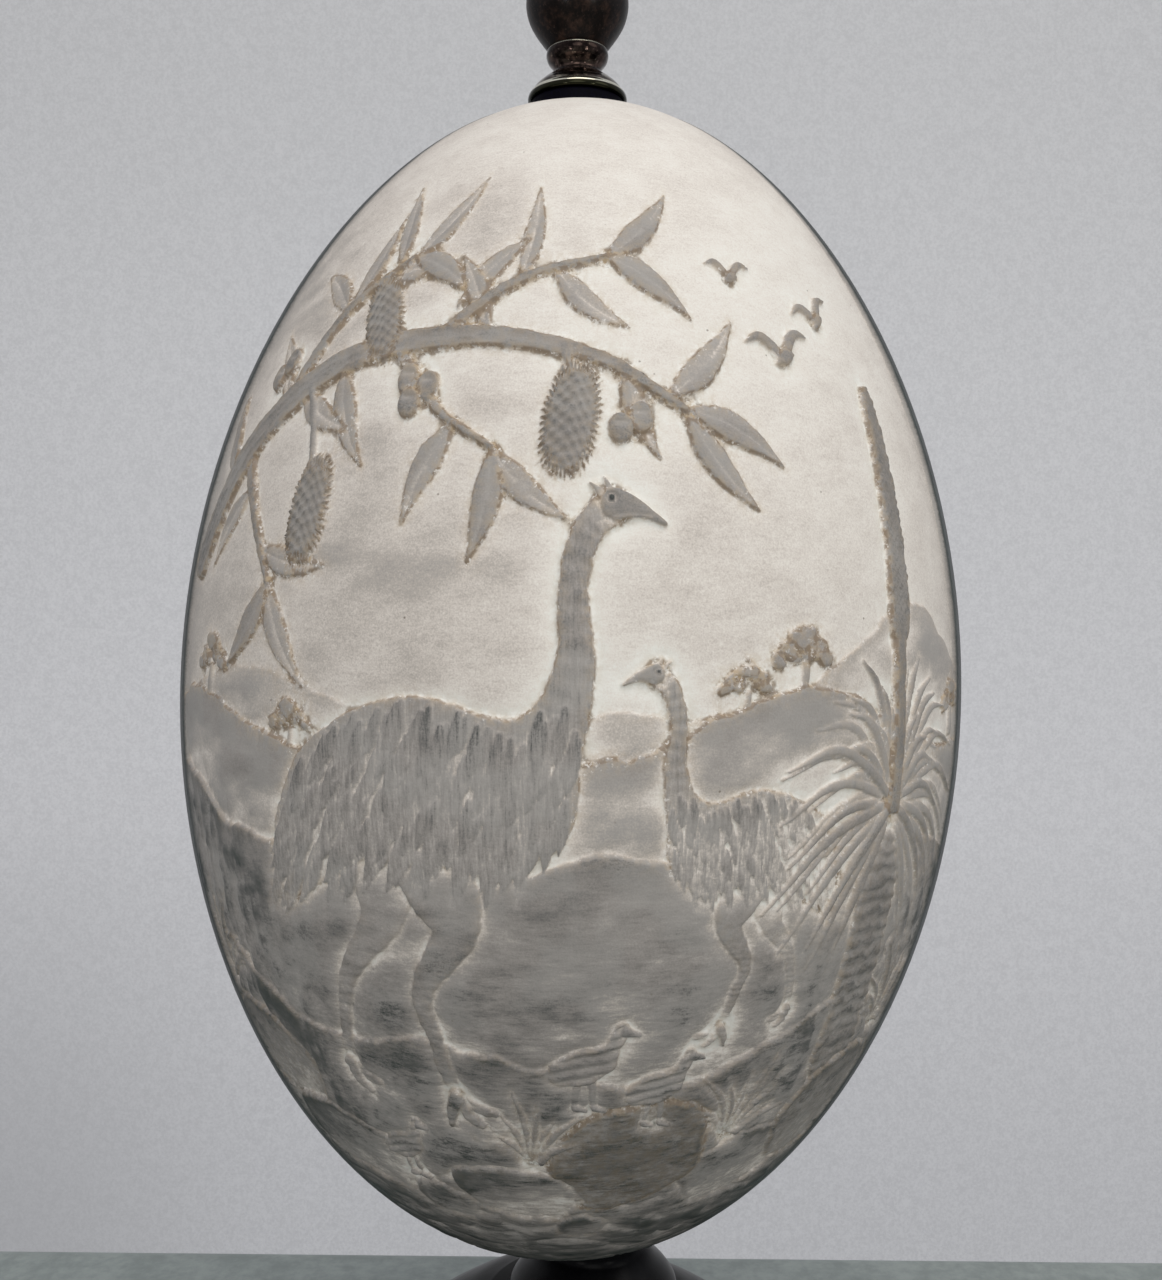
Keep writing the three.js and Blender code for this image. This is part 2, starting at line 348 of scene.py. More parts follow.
def brush(c, across, up, half_width, half_height, turn):
    """A flower brush: a long cone of short bristles in slanting rows."""
    k = math.radians(turn)
    x, y = c.across - across, c.up - up
    u, v = x * math.cos(k) + y * math.sin(k), -x * math.sin(k) + y * math.cos(k)
    rows = np.sin(v * 5.2 + 1.6 * np.abs(u)) * np.cos(u * 4.4 + 0.5 * c.uneven(0.8, 70))
    fringe = 0.32 * np.sin(np.arctan2(u, v * 0.6) * 46)
    cone = c.oval(across, up, half_width, half_height, turn, 2.4)
    shape = cone + fringe * ease(2.0, 0, np.abs(cone))
    shade = 0.08 * ease(-half_width, half_width, u)
    c.leave(shape, 0.25 + 0.10 * rows + shade, moat=0.14, spread=0.8, stain=0.9, brown=0.45, fine=0.2)


BOUGH = [(-49, 13, 2.1), (-41, 24, 1.8), (-28, 31.5, 1.4), (-12, 33.5, 1.05), (2, 31.5, 0.75), (11, 27, 0.4)]
TWIGS = [[(-36, 28, 0.9), (-30, 37, 0.65), (-22, 42, 0.35)],
         [(-16, 33.3, 0.75), (-7, 39, 0.55), (3, 41.5, 0.3)],
         [(-41, 24, 0.8), (-36, 17, 0.55), (-32, 11, 0.3)],
         [(-20, 32.5, 0.65), (-14, 26.5, 0.45), (-8, 23, 0.25)]]
# Each leaf: where it starts, its length, the way it points, its curl and its half width
LEAVES = [(-30, 37, 10, 62, 0.25, 1.4), (-27, 39.5, 11, 18, -0.3, 1.45), (-22, 42, 11, 40, 0.2, 1.4),
          (-22, 42, 10.5, -12, -0.25, 1.35), (-24, 41, 10, 100, 0.2, 1.3), (-7, 39, 10, 75, 0.2, 1.35),
          (3, 41.5, 11.5, 28, 0.2, 1.45), (3, 41.5, 11, -18, -0.25, 1.4), (-3, 40.5, 10, -50, 0.3, 1.35),
          (11, 27, 11, -62, 0.2, 1.4), (11, 27, 11, -12, -0.25, 1.45), (9, 28, 11.5, 32, 0.2, 1.45),
          (5, 31, 9, -80, 0.2, 1.3), (-8, 23, 9.5, -52, 0.25, 1.3), (-14, 36.5, 10, 52, -0.2, 1.3),
          (-8, 23, 10, -88, -0.2, 1.35), (-12, 25.4, 10, -125, 0.2, 1.35), (-32, 11, 11, -70, 0.25, 1.4),
          (-32, 11, 10, -115, -0.2, 1.35), (-34, 14, 9.5, -20, 0.2, 1.3), (-38, 20, 10, -140, 0.2, 1.3),
          (-27, 31.5, 11, -75, 0.25, 1.45), (-33, 29.5, 9.5, -40, 0.25, 1.35), (-36, 28, 10, 118, 0.2, 1.3),
          (-44, 21, 10, 128, -0.2, 1.3), (-10, 34, 9, 112, 0.2, 1.25), (-30, 37, 9.5, 140, 0.2, 1.3)]
NUTS = [(-18, 29.5), (-15.6, 28.8), (-17.4, 27.2), (6.4, 26.0), (4.4, 25.0), (-39.5, 31.2), (-37.6, 32.6)]
# Each flower brush: middle, half width and height, turn in degrees
BRUSHES = [(-0.5, 25.8, 2.5, 4.9, -10), (-23.5, 36.0, 2.2, 4.4, 24), (-27.5, 17.5, 2.3, 4.6, -6)]


def gum_spray(c):
    """A bough reaching in from the upper left, with leaves, nuts and flower brushes."""
    for i, (x, y, length, angle, curl, width) in enumerate(LEAVES):
        leaf(c, (x, y), length, angle, curl, width, 0.25 + 0.045 * (i % 3))
    for part in TWIGS + [BOUGH]:
        distance, _ = c.stroke(part)
        furrows = np.sin(distance * 7.0 + 3.0 * c.uneven(2.4, 72))
        bark = 0.05 * scraped(c, 0.9, 71) + 0.045 * furrows * ease(-0.15, -0.5, distance)
        c.leave(distance, 0.28 + bark, moat=0.14, spread=0.8, rough=0.13, stain=0.9, brown=0.2, fine=0.5)
    c.leave(c.stroke([(-1.4, 32.4, 0.35), (-0.6, 30.0, 0.4)])[0], 0.26, moat=0.1)
    c.leave(c.stroke([(-31.5, 29.5, 0.35), (-29.4, 25.5, 0.35), (-28.2, 21.5, 0.4)])[0], 0.26, moat=0.1)
    for cone in BRUSHES:
        brush(c, *cone)
    for x, y in NUTS:
        c.leave(c.oval(x, y, 1.2, 1.4), 0.23, moat=0.2, spread=0.6, wall=0.16, rough=0.05, stain=0.7)
        c.groove([(x - 0.5, y + 0.5, 0.0), (x + 0.5, y + 0.5, 0.0)], cut=0.25, spread=0.2)


def grass_tree(c, foot, height, size, spike):
    """A stout trunk with a fountain of needle leaves and a tall flower spike."""
    x, y = foot
    top = y + height
    trunk, _ = c.stroke([(x, y, 3.6 * size), (x - 0.6, y + height * 0.5, 3.0 * size), (x, top, 3.2 * size)])
    bands = 0.09 * np.sin((c.up - y) * 4.2 + 2.0 * c.uneven(1.2, 17))
    c.leave(trunk, 0.27 + bands, moat=0.36, spread=0.9, stain=0.5, brown=0.4, fine=0.5)
    for k in range(64):
        angle = math.radians(-66 + 312 * ((k * 0.618034) % 1.0))
        length = size * (12.5 + 3.5 * math.sin(k * 2.3))
        droop = length * (0.10 + 0.20 * abs(math.cos(angle)))
        tip = (x + math.cos(angle) * length, top + 1 + math.sin(angle) * length - droop, 0.06)
        middle = (x + math.cos(angle) * length * 0.55, top + 1 + math.sin(angle) * length * 0.62, 0.40)
        blade, along = c.stroke([(x, top + 0.5, 0.46), middle, tip], 2.5, 6)
        tone = 0.23 + 0.08 * along + 0.05 * (k % 3)
        c.leave(blade, tone, moat=0.16, spread=0.45, wall=0.14, rough=0.06, stain=0.2)
    rod, along = c.stroke([(x, top, 0.85 * size), (x + 0.5, top + spike * 0.40, 0.8 * size),
                           (x + 0.8, top + spike * 0.46, 1.55 * size),
                           (x + 1.6, top + spike * 0.92, 1.15 * size), (x + 1.8, top + spike, 0.5)])
    in_flower = ease(0.42, 0.5, along)
    seeds = np.sin(c.up * 7.0 + 2.0 * c.across) * np.sin(c.across * 7.0) * in_flower
    tone = 0.25 + 0.06 * c.ragged * in_flower + 0.05 * seeds
    c.leave(rod, tone, moat=0.22, spread=0.7, wall=0.18, stain=0.8, brown=0.3, fine=0.5)


def tussock(c, foot, size, blades, kind, level, lean):
    """A fan of grass blades."""
    for k in range(blades):
        share = k / (blades - 1)
        angle = math.radians(152 - 124 * share + lean + 7 * math.sin(k * 3.1 + kind))
        length = size * (0.75 + 0.25 * math.sin(k * 5.3 + kind) + 0.25 * math.sin(math.pi * share))
        base = (foot[0] + (share - 0.5) * size * 0.28, foot[1])
        tip = (base[0] + math.cos(angle) * length, base[1] + math.sin(angle) * length)
        middle = (base[0] * 0.5 + tip[0] * 0.5 - math.cos(angle) * length * 0.10,
                  base[1] * 0.45 + tip[1] * 0.55 + length * 0.05)
        blade, along = c.stroke([(*base, 0.34), (*middle, 0.30), (*tip, 0.05)], 2.0, 3)
        tone = level + 0.07 * math.sin(k * 2.1) - 0.06 * along
        c.leave(blade, tone, moat=0.22, spread=0.3, wall=0.14, rough=0.05, stain=0.2)


def boulder(c, across, up, half_width, half_height, turn, level, fade, kind, brown):
    shape = c.oval(across, up, half_width, half_height, turn, 2.3)
    shape = shape + 0.40 * c.uneven(3.5, kind)
    shape = shape + 0.18 * c.uneven(1.4, kind)
    slope = ease(half_height, -half_height, c.up - up - 0.30 * (c.across - across))
    sweeps = unevenness(c.across * 0.6 + c.up, c.up * 1.5 - c.across * 0.5, 2.4, kind + 3)
    pits = 0.04 * ease(0.35, 0.8, c.uneven(0.8, kind + 7)) - 0.03 * c.ragged
    tone = level + fade * slope + 0.05 * sweeps + pits
    c.leave(shape, tone, moat=0.15, spread=0.35, stain=0.2, brown=brown)
    lit = ease(-0.8, 0.7, (c.up - up) / half_height - 0.4 * (c.across - across) / half_width)
    worn = 0.6 + 0.4 * c.uneven(1.7, kind + 9)
    c.depth = c.depth + 0.34 * lit * worn * np.exp(-((shape - 0.02) / 0.14) ** 2)
    c.depth = np.maximum(c.depth - 0.08 * np.exp(-((shape + 0.42) / 0.24) ** 2), 0.09)
    c.stain = np.maximum(c.stain, 0.8 * brown * np.exp(-((shape + 0.05) / 0.35) ** 2))
    at_rim = (shape < 0.5) & (shape > -1.2)
    c.edge = np.where(at_rim, np.minimum(c.edge, np.maximum(np.abs(shape), 0.2)), c.edge)


# Each boulder: middle, half width and height, turn in degrees, the depth of its upper side, how much
# deeper its lower side is, pattern and brownness
BOULDERS = [(-40, -37, 8.5, 5.2, -14, 0.20, 0.36, 51, 0.5), (-30, -45.5, 10.5, 4.2, -10, 0.15, 0.40, 52, 0.1),
            (26, -46.0, 9.0, 4.4, 8, 0.19, 0.40, 53, 0.1), (38, -41.0, 8.5, 6.0, 18, 0.19, 0.32, 54, 0.5),
            (9, -43.0, 9.8, 6.4, 12, 0.17, 0.08, 55, 1.0), (-6, -48.2, 9.0, 3.3, -5, 0.18, 0.44, 56, 0.1),
            (-17, -50.5, 5.4, 2.4, -10, 0.14, 0.28, 58, 0.1), (4, -53.0, 4.2, 1.7, 6, 0.15, 0.26, 57, 0.1)]
# Each tussock: its foot, size, number of blades, pattern, depth and lean in degrees
TUSSOCKS = [((-3.0, -43.5), 7.0, 15, 1, 0.34, 0), ((22, -41.5), 8.0, 15, 4, 0.38, -4),
            ((44, -33), 8.5, 13, 6, 0.34, 8), ((-47, -30), 8.5, 13, 2, 0.34, -8)]


def scrub(c):
    """Low growth at both sides of the field: curving strokes, pale over dark."""
    aside = ease(26, 46, np.abs(c.across) - 0.25 * c.up) * ease(-4, -16, c.up)
    bent = c.up + 0.35 * np.abs(c.across) + 2.0 * c.uneven(6.0, 81)
    tufts = unevenness(c.across * 1.3, bent * 0.55, 2.2, 82)
    tufts = tufts + 0.6 * unevenness(c.across * 1.8, bent * 0.6, 1.0, 83)
    tufts = tufts + 0.5 * unevenness(c.across * 2.6, bent * 0.8, 0.8, 84)
    c.depth = np.maximum(c.depth + aside * (0.13 * tufts - 0.05), 0.10 + 0.02 * c.ragged)
    c.edge = np.where(aside > 0.3, np.minimum(c.edge, 0.6), c.edge)


def foreground(c):
    """Wandering strokes of water at the bottom, then boulders and tussocks."""
    wander = 3.0 * unevenness(c.across * 0.30, c.up, 3.4, 40)
    wander = wander + 1.6 * unevenness(c.across * 0.45, c.up, 1.6, 41)
    from_shore = c.up + 1.5 * np.sin(c.across * 0.12)
    band = ease(-46, -49, from_shore + 0.8 * c.uneven(2.0, 42))
    strokes = 0.045 * np.sin(c.up * 1.9 + wander) + 0.04 * np.sin(c.up * 5.1 + 2.2 * wander)
    scratches = 0.07 * unevenness(c.across * 0.35 + 0.2 * c.up, c.up * 1.6, 0.9, 43)
    c.depth = c.depth * (1 - band) + (0.165 + strokes + scratches) * band
    c.edge = np.minimum(c.edge, FAR + (0.5 - FAR) * band)
    c.brown = np.maximum(c.brown, 0.15 * band)
    for k in range(22):
        start, up = -34 + 60 * ((k * 0.618034) % 1.0), -45.5 - 0.62 * k
        length = 9 + 5 * math.sin(k * 2.7)
        lift = 0.9 * math.sin(k * 1.9)
        arc = [(start, up, 0.05), (start + length * 0.4, up + lift, 0.22),
               (start + length, up - 0.4 * lift, 0.02)]
        c.groove(arc, cut=0.20 + 0.07 * math.sin(k * 3.3), spread=0.30)
    for stone in BOULDERS:
        boulder(c, *stone)
    for tuft in TUSSOCKS:
        tussock(c, *tuft)


FAR_TREES = ((-42, 0.4, 1.0), (-27.5, -4.0, 0.8), (16.0, 0.6, 0.8), (22.0, 2.6, 1.05), (49, -2.0, 0.9))


def small_tree(c, x, up, size):
    """A far-off tree: a leaning trunk and a few clumps of leaves."""
    trunk, _ = c.stroke([(x, up - 1.0, 0.42 * size), (x + 0.3 * size, up + 2.0 * size, 0.3 * size)], 2, 3)
    c.leave(trunk, 0.34, moat=0.10, spread=0.4)
    clumps = ((-1.3, 2.9, 1.25), (1.5, 3.3, 1.35), (0.1, 4.3, 1.3), (2.6, 2.4, 0.9), (-2.5, 2.2, 0.8))
    for dx, dy, r in clumps:
        clump = c.oval(x + dx * size, up + dy * size, r * size, 0.72 * r * size) + 0.30 * c.ragged
        tone = 0.36 + 0.05 * c.ragged
        c.leave(clump, tone, moat=0.08, spread=0.5, rough=0.2, stain=0.8, brown=0.25, fine=0.5)


def birds(c):
    for x, y, size, turn in ((24, 33, 1.1, 8), (31.5, 37.5, 0.9, 16), (19, 40.5, 0.75, 0)):
        k = math.radians(turn)

        def at(u, v, r):
            across = x + size * (u * math.cos(k) - v * math.sin(k))
            return across, y + size * (u * math.sin(k) + v * math.cos(k)), r * size

        for part in ([at(-4.2, 1.6, 0.08), at(-2.3, 1.9, 0.45), at(-0.1, 0, 0.55)],
                     [at(4.2, 1.6, 0.08), at(2.3, 1.9, 0.45), at(0.1, 0, 0.55)],
                     [at(-0.9, -0.5, 0.2), at(0.1, -0.1, 0.6), at(1.3, 0.1, 0.15)]):
            c.leave(c.stroke(part, 3)[0], 0.30, moat=0.1, spread=0.6, wall=0.16, rough=0.05, stain=0.5)


def carved(across, up):
    c = Carving(across, up)
    clouds(c)
    horizon(c)
    for x, height, size in FAR_TREES:
        small_tree(c, x, height, size)
    hills(c)
    scrub(c)
    emu(c, (17.5, -12.5), 0.56, -1, 0.33)
    grass_tree(c, (35, -34), 25, 1.05, 40)
    foreground(c)
    emu(c, (-13.0, -9.0), 0.94, 1, 0.28)
    chick(c, (2.5, -32.5), 0.95, 1)
    chick(c, (10.5, -35.0), 0.85, 1)
    chick(c, (-20.8, -43.9), 0.8, 1)
    birds(c)
    gum_spray(c)
    return c


# Making and shaping pieces

def clear_selection():
    if bpy.context.mode != "OBJECT":
        bpy.ops.object.mode_set(mode="OBJECT")
    bpy.ops.object.select_all(action="DESELECT")


def placed_in_mesh(piece):
    bpy.ops.object.transform_apply(location=True, rotation=True, scale=True)
    return piece


def turned(name, profile, segments, aside=0.0):
    """Turns a closed solid from (radius, height) pairs, listed from the bottom up."""
    clear_selection()
    radius, height = profile[0]
    bpy.ops.mesh.primitive_circle_add(vertices=segments, radius=radius * MM, fill_type="NGON",
                                      location=(aside * MM, 0, height * MM))
    piece = bpy.context.object
    piece.name = name
    bpy.ops.object.mode_set(mode="EDIT")
    bpy.ops.mesh.select_mode(type="FACE")
    bpy.ops.mesh.select_all(action="SELECT")
    for (radius, height), (next_radius, next_height) in zip(profile[:-1], profile[1:]):
        rise = (next_height - height) * MM
        bpy.ops.mesh.extrude_region_move(TRANSFORM_OT_translate={"value": (0, 0, rise)})
        grow = next_radius / radius
        bpy.ops.transform.resize(value=(grow, grow, 1), center_override=(aside * MM, 0, next_height * MM))
    bpy.ops.mesh.select_all(action="SELECT")
    bpy.ops.mesh.normals_make_consistent(inside=False)
    bpy.ops.object.mode_set(mode="OBJECT")
    bpy.ops.object.shade_smooth_by_angle(angle=SMOOTH_UNDER)
    return placed_in_mesh(piece)


def curve(pairs, steps):
    return [tuple(pair) for pair in smooth_run(pairs, steps)]


# The egg's surface

def egg_radius(share):
    taper = 1 + TOP_TAPER * share + END_TAPER * share * share
    return HALF_WIDTH * np.sqrt(np.clip(1 - share * share, 0, None)) * taper


def onto_skin(places):
    """Moves places outwards or inwards along the line from the egg's centre until they lie on its skin."""
    low, high = np.full(len(places), 0.0), np.full(len(places), 3.0)
    girth, rise = np.hypot(places[:, 0], places[:, 1]), places[:, 2] / HALF_LENGTH
    for _ in range(40):
        middle = (low + high) / 2
        inside = (np.abs(rise * middle) < 1) & (girth * middle < egg_radius(np.clip(rise * middle, -1, 1)))
        low, high = np.where(inside, middle, low), np.where(inside, high, middle)
    return places * low[:, None]


def across_and_up(places):
    return np.arctan2(places[:, 0], -places[:, 1]) * HALF_WIDTH, places[:, 2]


def inside_field(places):
    """How far a place lies within the carved field, in mm; negative on the natural skin."""
    share = places[:, 2] / HALF_LENGTH
    edge = FIELD_EDGE - 2.6 * share - 2.2 * share ** 2 - 10.5 * np.clip(share, 0, None) ** 12
    edge = edge - 11.0 * np.clip(-share, 0, None) ** 10
    return -places[:, 1] - edge


def outwards(places):
    """The skin's own direction at each place."""
    n = places / np.array([HALF_WIDTH ** 2, HALF_WIDTH ** 2, HALF_LENGTH ** 2])
    return n / np.linalg.norm(n, axis=1)[:, None]


def on_stand(places):
    """From the egg's own axes to its place on the stand: it leans a little, about its upper pole."""
    c, s = math.cos(LEAN), math.sin(LEAN)
    x, y, z = places[:, 0], places[:, 1], places[:, 2] - HALF_LENGTH
    return np.stack([x * c + z * s + TOP_OFFSET, y, -x * s + z * c + POLE_TOP], 1)


def vertex_places(piece):
    places = np.empty(len(piece.data.vertices) * 3)
    piece.data.vertices.foreach_get("co", places)
    return places.reshape(-1, 3)


def face_centres(piece):
    centres = np.empty(len(piece.data.polygons) * 3)
    piece.data.polygons.foreach_get("center", centres)
    return centres.reshape(-1, 3)


def move_vertices(piece, places):
    piece.data.vertices.foreach_set("co", places.ravel())
    piece.data.update()


def refine(piece, chosen):
    """Subdivides the chosen faces once and lays the new vertices on the skin."""
    bpy.ops.object.mode_set(mode="EDIT")
    bpy.ops.mesh.select_mode(type="FACE")
    bpy.ops.mesh.select_all(action="DESELECT")
    bpy.ops.object.mode_set(mode="OBJECT")
    piece.data.polygons.foreach_set("select", chosen)
    bpy.ops.object.mode_set(mode="EDIT")
    bpy.ops.mesh.subdivide(number_cuts=1, ngon=False, quadcorner="STRAIGHT_CUT")
    bpy.ops.object.mode_set(mode="OBJECT")
    move_vertices(piece, onto_skin(vertex_places(piece)))


def write_attribute(piece, name, values):
    piece.data.attributes.new(name, "FLOAT", "POINT").data.foreach_set("value", values.astype(np.float32))


def made_egg():
    clear_selection()
    bpy.ops.mesh.primitive_uv_sphere_add(segments=96, ring_count=60, radius=HALF_WIDTH)
    piece = bpy.context.object
    piece.name = "carved_shell"
    move_vertices(piece, onto_skin(vertex_places(piece)))
    refine(piece, inside_field(face_centres(piece)) > -6)
    refine(piece, inside_field(face_centres(piece)) > -1.5)
    for reach, margin in ((0.75, 0.9), (0.26, 0.35)):
        centres = face_centres(piece)
        c = carved(*across_and_up(centres))
        field = inside_field(centres)
        rim = np.abs(field - 0.2) < margin
        refine(piece, ((c.edge < reach) & (field > 0)) | rim)
    places = vertex_places(piece)
    c = carved(*across_and_up(places))
    field = inside_field(places) + 0.10 * c.ragged
    inside = ease(0.0, 0.55, field)
    depth = (c.depth - 0.12 * np.exp(-np.clip(field, 0, None) / 2.2)) * inside
    lip = 0.10 * np.exp(-(np.clip(-field, 0, None) / 0.5)) * (1 - inside)
    write_attribute(piece, "depth", depth + lip)
    write_attribute(piece, "stain", c.stain * inside)
    write_attribute(piece, "brown", c.brown * inside)
    write_attribute(piece, "hair", c.hair * inside)
    shallow = 1 - SHALLOWED * ease(SHALLOW_FROM, SHALLOW_TO, places[:, 2])
    move_vertices(piece, on_stand(places - outwards(places) * ((depth + lip) * shallow)[:, None]) * MM)
    bpy.ops.object.mode_set(mode="EDIT")
    bpy.ops.mesh.select_all(action="SELECT")
    bpy.ops.mesh.normals_make_consistent(inside=False)
    bpy.ops.object.mode_set(mode="OBJECT")
    thin_out(piece, SHELL_TRIANGLES)
    bpy.ops.object.shade_smooth()
    return piece


def thin_out(piece, most):
    """Merges the smallest steps of a surface until it has no more than the given number of triangles."""
    made = sum(len(face.vertices) - 2 for face in piece.data.polygons)
    bpy.ops.object.modifier_add(type="DECIMATE")
    thinned = piece.modifiers[-1]
    thinned.ratio = min(1.0, most / made)
    bpy.ops.object.modifier_apply(modifier=thinned.name)


def bedded(piece, gap):
    """Cuts the egg's own curve into the face that meets it."""
    bpy.ops.object.select_all(action="DESELECT")
    bpy.ops.mesh.primitive_uv_sphere_add(segments=128, ring_count=80, radius=HALF_WIDTH)
    cutter = bpy.context.object
    skin = onto_skin(vertex_places(cutter))
    move_vertices(cutter, on_stand(skin + outwards(skin) * gap) * MM)
    bpy.ops.object.select_all(action="DESELECT")
    piece.select_set(True)
    bpy.context.view_layer.objects.active = piece
    bpy.ops.object.modifier_add(type="BOOLEAN")
    seat = piece.modifiers[-1]
    seat.object = cutter
    seat.operation = "DIFFERENCE"
    bpy.ops.object.modifier_apply(modifier=seat.name)
    bpy.data.objects.remove(cutter)
    bpy.ops.object.shade_smooth_by_angle(angle=SMOOTH_UNDER)
    return piece


# Materials

class Value:
    """A number in a material: sums on it add the Math nodes that work them out."""

    def __init__(self, finish, socket):
        self.finish = finish
        self.socket = socket

    def math(self, operation, *others):
        terms = dict(enumerate((self, *others)))
        return self.finish.node("ShaderNodeMath", {"operation": operation}, terms)

    def __add__(self, other):
        return self.math("ADD", other)

    __radd__ = __add__

    def __mul__(self, other):
        return self.math("MULTIPLY", other)

    __rmul__ = __mul__

    def __sub__(self, other):
        return self.math("SUBTRACT", other)

    def __rsub__(self, other):
        return self * -1 + other

    def above(self, low, high):
        """0 below low and 1 above high, with a smooth step between."""
        settings = {"data_type": "FLOAT", "interpolation_type": "SMOOTHSTEP"}
        return self.finish.node("ShaderNodeMapRange", settings, {0: self, 1: low, 2: high})

    def below(self, low, high):
        return 1 - self.above(low, high)

    def part(self, name):
        """One axis of a place."""
        return self.finish.node("ShaderNodeSeparateXYZ", {}, {0: self}, name)


class Finish:
    """A material and its nodes."""

    def __init__(self, name, **constants):
        self.material = bpy.data.materials.new(name)
        self.material.use_nodes = True
        self.tree = self.material.node_tree
        self.shader = self.tree.nodes["Principled BSDF"]
        for socket, value in constants.items():
            self.shader.inputs[socket.replace("_", " ")].default_value = value
        self.place = self.node("ShaderNodeTexCoord", output="Object")

    def node(self, kind, settings=None, inputs=None, output=0):
        made = self.tree.nodes.new(kind)
        for name, setting in (settings or {}).items():
            if name == "stops":
                self.set_stops(made.color_ramp, setting)
            else:
                setattr(made, name, setting)
        for socket, value in (inputs or {}).items():
            if isinstance(value, Value):
                self.tree.links.new(value.socket, made.inputs[socket])
            else:
                made.inputs[socket].default_value = value
        return Value(self, made.outputs[output])

    def set_stops(self, ramp, stops):
        while len(ramp.elements) < len(stops):
            ramp.elements.new(1.0)
        for element, (position, colour) in zip(ramp.elements, stops):
            element.position = position
            element.color = (*colour, 1)

    def attribute(self, name):
        return self.node("ShaderNodeAttribute", {"attribute_name": name}, output="Fac")

    def noise(self, lump, detail=3.0, rough=0.5, stretch=(1, 1, 1), turn=(0, 0, 0), shift=0.0):
        """Noise with lumps of about the given size in mm, stretched and turned, from 0 to 1."""
        laid = self.node("ShaderNodeMapping", {}, {"Vector": self.place, "Location": (shift, shift, shift),
                                                   "Rotation": turn, "Scale": stretch})
        inputs = {"Vector": laid, "Scale": 1 / (lump * MM), "Detail": detail, "Roughness": rough}
        return self.node("ShaderNodeTexNoise", {}, inputs, "Fac")

    def cells(self, lump):
        """Distance from the middles of cells of about the given size in mm, as a share of it."""
        inputs = {"Vector": self.place, "Scale": 1 / (lump * MM)}
        return self.node("ShaderNodeTexVoronoi", {}, inputs, "Distance")

    def ramp(self, value, stops):
        return self.node("ShaderNodeValToRGB", {"stops": stops}, {0: value}, "Color")

    def mix(self, share, first, second):
        pair = {0: share, 6: as_colour(first), 7: as_colour(second)}
        return self.node("ShaderNodeMix", {"data_type": "RGBA"}, pair, 2)

    def bump(self, height, depth, strength=1.0, under=None):
        inputs = {"Height": height, "Distance": depth * MM, "Strength": strength}
        if under is not None:
            inputs["Normal"] = under
        return self.node("ShaderNodeBump", {}, inputs, "Normal")

    def give(self, **links):
        for socket, value in links.items():
            self.tree.links.new(value.socket, self.shader.inputs[socket.replace("_", " ")])
        return self.material


def as_colour(value):
    return value if isinstance(value, Value) else (*value, 1)


# The shell's colour at each depth below its skin: dark green, grey, then cream
LAYERS = [(0.0, (0.012, 0.018, 0.015)), (0.06, (0.030, 0.040, 0.036)), (0.12, (0.088, 0.091, 0.085)),
          (0.20, (0.175, 0.166, 0.156)), (0.32, (0.270, 0.249, 0.230)), (0.46, (0.360, 0.332, 0.308)),
          (0.55, (0.470, 0.428, 0.386)), (0.62, (0.610, 0.556, 0.504)), (0.71, (0.748, 0.702, 0.642)),
          (0.80, (0.805, 0.789, 0.734))]


